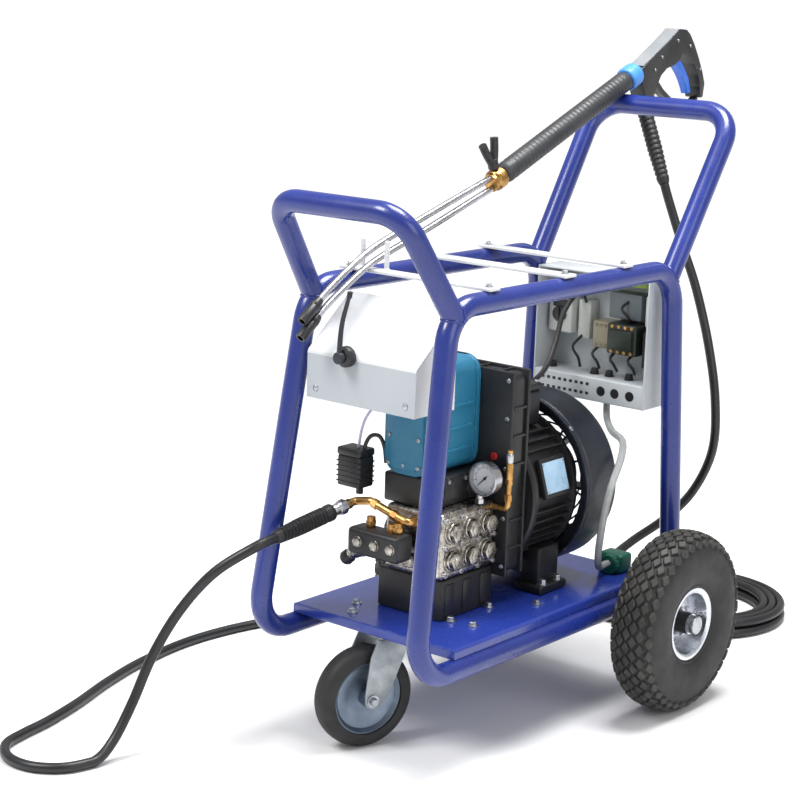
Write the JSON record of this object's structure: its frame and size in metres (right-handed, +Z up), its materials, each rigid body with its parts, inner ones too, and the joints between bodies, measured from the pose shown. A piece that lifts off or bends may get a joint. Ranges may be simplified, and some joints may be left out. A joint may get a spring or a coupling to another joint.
{
  "type": "pressure washer",
  "caption": "Trolley pressure washer: open tube frame with two handles, electric motor geared to a plunger pump, rear wheels, swivel caster, gun with twin lance and hose.",
  "frame": {"origin": "on the floor, under the middle of the object's box, measured without the free hose", "axes": "+X right-hand side, -Y front (pump end), +Z up"},
  "size_m": [0.8214, 1.5452, 1.081],
  "materials": {
    "blue_frame": "gloss powder coat",
    "white_sheet": "satin powder coat",
    "steel": "bright",
    "zinc": "zinc plated",
    "rubber": "matt",
    "black_paint": "satin",
    "teal_paint": "cast, painted",
    "nickel": "nickel plated casting",
    "brass": "satin",
    "black_plastic": "moulded",
    "blue_plastic": "moulded",
    "grey_plastic": "moulded",
    "green_plastic": "moulded"
  },
  "bodies": {
    "trolley": {"right_ring_frame": "blue_frame", "left_ring_frame": "blue_frame", "front_handle": "blue_frame", "rear_handle": "blue_frame", "base_plate": "blue_frame", "axle_bracket": "blue_frame", "crossbar_front": "white_sheet", "crossbar_middle": "white_sheet", "crossbar_rear": "white_sheet", "front_console": "white_sheet", "bypass_valve": "steel", "pressure_gauge": "steel", "upper_lance": "steel", "lower_lance": "steel", "outlet_swivel": "steel", "rear_axle": "zinc", "caster_plate": "zinc", "hose_front": "rubber", "hose_coil": "rubber", "hose_rear": "rubber", "motor_cable": "rubber", "lance_sleeve": "rubber", "gun_hose_sleeve": "rubber", "outlet_hose_sleeve": "rubber", "motor_casing": "black_paint", "fan_cowl": "black_paint", "terminal_box": "black_paint", "gear_housing": "black_paint", "plunger_housing": "black_paint", "pump_base": "black_paint", "pump_crankcase": "teal_paint", "pump_manifold": "nickel", "relief_valve": "brass", "brass_link": "brass", "lance_valve_block": "brass", "unloader_valve": "black_plastic", "pressure_switch": "black_plastic", "gun_body": "black_plastic", "control_box": "grey_plastic", "control_conduit": "grey_plastic", "water_inlet": "green_plastic"},
    "right_wheel": {"right_rim": "steel", "right_tyre": "rubber"},
    "left_wheel": {"left_rim": "steel", "left_tyre": "rubber"},
    "caster_yoke": {"caster_fork": "zinc", "caster_axle": "zinc"},
    "caster_roller": {"caster_rim": "zinc", "caster_tyre": "rubber"},
    "motor_shaft": {"motor_rotor": "steel", "cooling_fan": "black_plastic", "motor_pinion": "steel"},
    "crank": {"pump_crankshaft": "steel", "crank_gear": "steel"},
    "pointer": {"gauge_pointer": "black_plastic"},
    "unloader_adjuster": {"unloader_knob": "black_plastic"},
    "lever": {"bypass_lever": "steel"},
    "switch_knob": {"main_switch": "black_plastic"},
    "trigger": {"gun_trigger": "blue_plastic"},
    "lance_knob": {"lance_valve_knob": "black_plastic"}
  },
  "joints": [
    {"name": "right_wheel_spin", "type": "hinge", "parent": "trolley", "child": "right_wheel", "pos_m": [0.246, 0.04639, 0.15], "axis": [1, 0, 0], "continuous": true},
    {"name": "left_wheel_spin", "type": "hinge", "parent": "trolley", "child": "left_wheel", "pos_m": [-0.246, 0.04639, 0.15], "axis": [1, 0, 0], "continuous": true},
    {"name": "caster_swivel", "type": "hinge", "parent": "trolley", "child": "caster_yoke", "pos_m": [0, -0.38761, 0.176], "axis": [0, 0, 1], "continuous": true},
    {"name": "caster_spin", "type": "hinge", "parent": "caster_yoke", "child": "caster_roller", "pos_m": [-0.01539, -0.4299, 0.08], "axis": [0.9397, -0.342, 0], "continuous": true},
    {"name": "motor_spin", "type": "hinge", "parent": "trolley", "child": "motor_shaft", "pos_m": [-0.015, -0.13761, 0.357], "axis": [0, 1, 0], "continuous": true},
    {"name": "crank_spin", "type": "hinge", "parent": "trolley", "child": "crank", "pos_m": [-0.015, -0.23761, 0.473], "axis": [0, 1, 0], "continuous": true},
    {"name": "gauge_needle", "type": "hinge", "parent": "trolley", "child": "pointer", "pos_m": [0.073, -0.25791, 0.41], "axis": [0, 1, 0], "range_deg": [0, 270], "stiffness_Nm_per_rad": 0.0005},
    {"name": "unloader_adjust", "type": "hinge", "parent": "trolley", "child": "unloader_adjuster", "pos_m": [-0.08175, -0.38961, 0.28334], "axis": [-0.7507, 0, -0.6606], "range_deg": [-360, 360]},
    {"name": "bypass_turn", "type": "hinge", "parent": "trolley", "child": "lever", "pos_m": [-0.034, -0.48021, 0.614], "axis": [0, 1, 0], "range_deg": [0, 80]},
    {"name": "main_switch_turn", "type": "hinge", "parent": "trolley", "child": "switch_knob", "pos_m": [-0.085, 0.15009, 0.6], "axis": [0, 1, 0], "range_deg": [0, 90]},
    {"name": "trigger_squeeze", "type": "hinge", "parent": "trolley", "child": "trigger", "pos_m": [-0.085, 0.45443, 1.03448], "axis": [1, 0, 0], "range_deg": [0, 8], "stiffness_Nm_per_rad": 1},
    {"name": "lance_knob_turn", "type": "hinge", "parent": "trolley", "child": "lance_knob", "pos_m": [-0.085, -0.05686, 0.86193], "axis": [0, -0.3787, 0.9255], "range_deg": [0, 180]}
  ],
  "couplings": [
    {"joint": "crank_spin", "follows": "motor_spin", "ratio": -0.73913}
  ]
}
